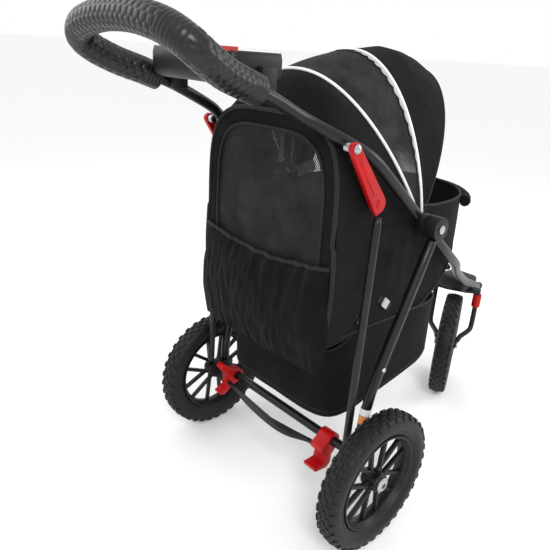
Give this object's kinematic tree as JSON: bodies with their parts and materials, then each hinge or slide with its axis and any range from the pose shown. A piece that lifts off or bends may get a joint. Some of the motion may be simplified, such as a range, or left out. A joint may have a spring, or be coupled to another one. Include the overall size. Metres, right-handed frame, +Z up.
{
  "type": "pet stroller",
  "caption": "Black jogger-style pet stroller with fabric cabin, ribbed canopy, parent tray, looped foam grip, red levers, storage basket and large air tyres with a swivel front fork.",
  "frame": {"origin": "centre of the overall box on the ground", "axes": "+Z up, -Y towards the front wheel, +X to the left side of the stroller as it is pushed"},
  "size_m": [0.6, 1.2112, 1.0161],
  "materials": {
    "frame_black": "satin black paint",
    "plastic_black": "fine texture",
    "rubber_black": "matte rubber",
    "fabric_black": "woven polyester",
    "mesh_black": "open mesh",
    "cushion_grey": "soft plush",
    "foam_black": "embossed rubber",
    "lever_red": "satin red",
    "steel": "zinc plated"
  },
  "bodies": {
    "frame": {"front_tube_left": "frame_black", "front_tube_right": "frame_black", "front_cross_bar": "frame_black", "nose_housing": "plastic_black", "hinge_plate_left": "plastic_black", "hinge_plate_right": "plastic_black", "hinge_pin_left": "steel", "hinge_pin_right": "steel", "cabin_floor": "plastic_black", "cabin_cushion": "cushion_grey", "cabin_side_left": "fabric_black", "cabin_side_right": "fabric_black", "cabin_rear_panel": "fabric_black", "rear_window_mesh": "mesh_black", "cabin_front_panel": "fabric_black", "rear_pocket": "fabric_black", "front_bumper_pad": "fabric_black", "basket": "fabric_black", "canopy_mesh_section": "mesh_black", "canopy_rear_section": "fabric_black"},
    "handle_frame": {"handle_tube": "frame_black", "handle_grip": "foam_black", "handle_knuckle_left": "plastic_black", "handle_knuckle_right": "plastic_black", "fold_lever_bolt_left": "steel", "fold_lever_bolt_right": "steel", "parent_tray": "plastic_black", "tray_clip_left": "plastic_black", "tray_clip_right": "plastic_black"},
    "rear_legs": {"leg_knuckle_left": "plastic_black", "leg_knuckle_right": "plastic_black", "rear_leg_left": "frame_black", "rear_leg_right": "frame_black", "fold_strut_left": "frame_black", "fold_strut_right": "frame_black", "axle_bracket_left": "plastic_black", "axle_bracket_right": "plastic_black", "rear_axle_tube": "frame_black", "stub_axle_left": "steel", "stub_axle_right": "steel"},
    "canopy_front": {"canopy_front_section": "fabric_black", "canopy_front_hoop": "plastic_black"},
    "brake": {"brake_bar": "frame_black", "brake_pedal_left": "lever_red", "brake_pedal_right": "lever_red"},
    "fold_lever_l": {"fold_lever_left": "lever_red"},
    "fold_lever_r": {"fold_lever_right": "lever_red"},
    "rear_wheel_l": {"rear_wheel_left_rim": "plastic_black", "rear_wheel_left_tyre": "rubber_black"},
    "rear_wheel_r": {"rear_wheel_right_rim": "plastic_black", "rear_wheel_right_tyre": "rubber_black"},
    "caster_fork": {"fork_crown": "plastic_black", "fork_leg_left": "frame_black", "fork_leg_right": "frame_black", "fork_tip_left": "plastic_black", "fork_tip_right": "plastic_black", "front_axle": "steel"},
    "swivel_lock_collar": {"swivel_lock": "lever_red"},
    "front_wheel": {"front_wheel_rim": "plastic_black", "front_wheel_tyre": "rubber_black"}
  },
  "joints": [
    {"name": "handle_fold", "type": "hinge", "parent": "frame", "child": "handle_frame", "pos_m": [0, 0.0332, 0.65], "axis": [1, 0, 0], "range_deg": [0, 140]},
    {"name": "rear_leg_fold", "type": "hinge", "parent": "frame", "child": "rear_legs", "pos_m": [0, 0.0332, 0.65], "axis": [-1, 0, 0], "range_deg": [0, 50]},
    {"name": "canopy_front_fold", "type": "hinge", "parent": "frame", "child": "canopy_front", "pos_m": [0, 0.0332, 0.65], "axis": [-1, 0, 0], "range_deg": [0, 26]},
    {"name": "brake_pivot", "type": "hinge", "parent": "rear_legs", "child": "brake", "pos_m": [0, 0.1932, 0.178], "axis": [-1, 0, 0], "range_deg": [0, 18]},
    {"name": "fold_lever_left_pivot", "type": "hinge", "parent": "handle_frame", "child": "fold_lever_l", "pos_m": [0.199, 0.2772, 0.817], "axis": [1, 0, 0], "range_deg": [0, 40]},
    {"name": "fold_lever_right_pivot", "type": "hinge", "parent": "handle_frame", "child": "fold_lever_r", "pos_m": [-0.199, 0.2772, 0.817], "axis": [1, 0, 0], "range_deg": [0, 40]},
    {"name": "rear_wheel_left_spin", "type": "hinge", "parent": "rear_legs", "child": "rear_wheel_l", "pos_m": [0.2735, 0.1932, 0.1525], "axis": [1, 0, 0], "continuous": true},
    {"name": "rear_wheel_right_spin", "type": "hinge", "parent": "rear_legs", "child": "rear_wheel_r", "pos_m": [-0.2735, 0.1932, 0.1525], "axis": [1, 0, 0], "continuous": true},
    {"name": "caster_swivel", "type": "hinge", "parent": "frame", "child": "caster_fork", "pos_m": [0, -0.5218, 0.1525], "axis": [0, 0, 1], "continuous": true},
    {"name": "swivel_lock_slide", "type": "slide", "parent": "caster_fork", "child": "swivel_lock_collar", "axis": [0, 0, 1], "range_m": [0, 0.006]},
    {"name": "front_wheel_spin", "type": "hinge", "parent": "caster_fork", "child": "front_wheel", "pos_m": [-0.02849, -0.46338, 0.1525], "axis": [0.8988, 0.4384, 0], "continuous": true}
  ],
  "couplings": [
    {"joint": "rear_leg_fold", "follows": "handle_fold", "ratio": 0.357}
  ]
}
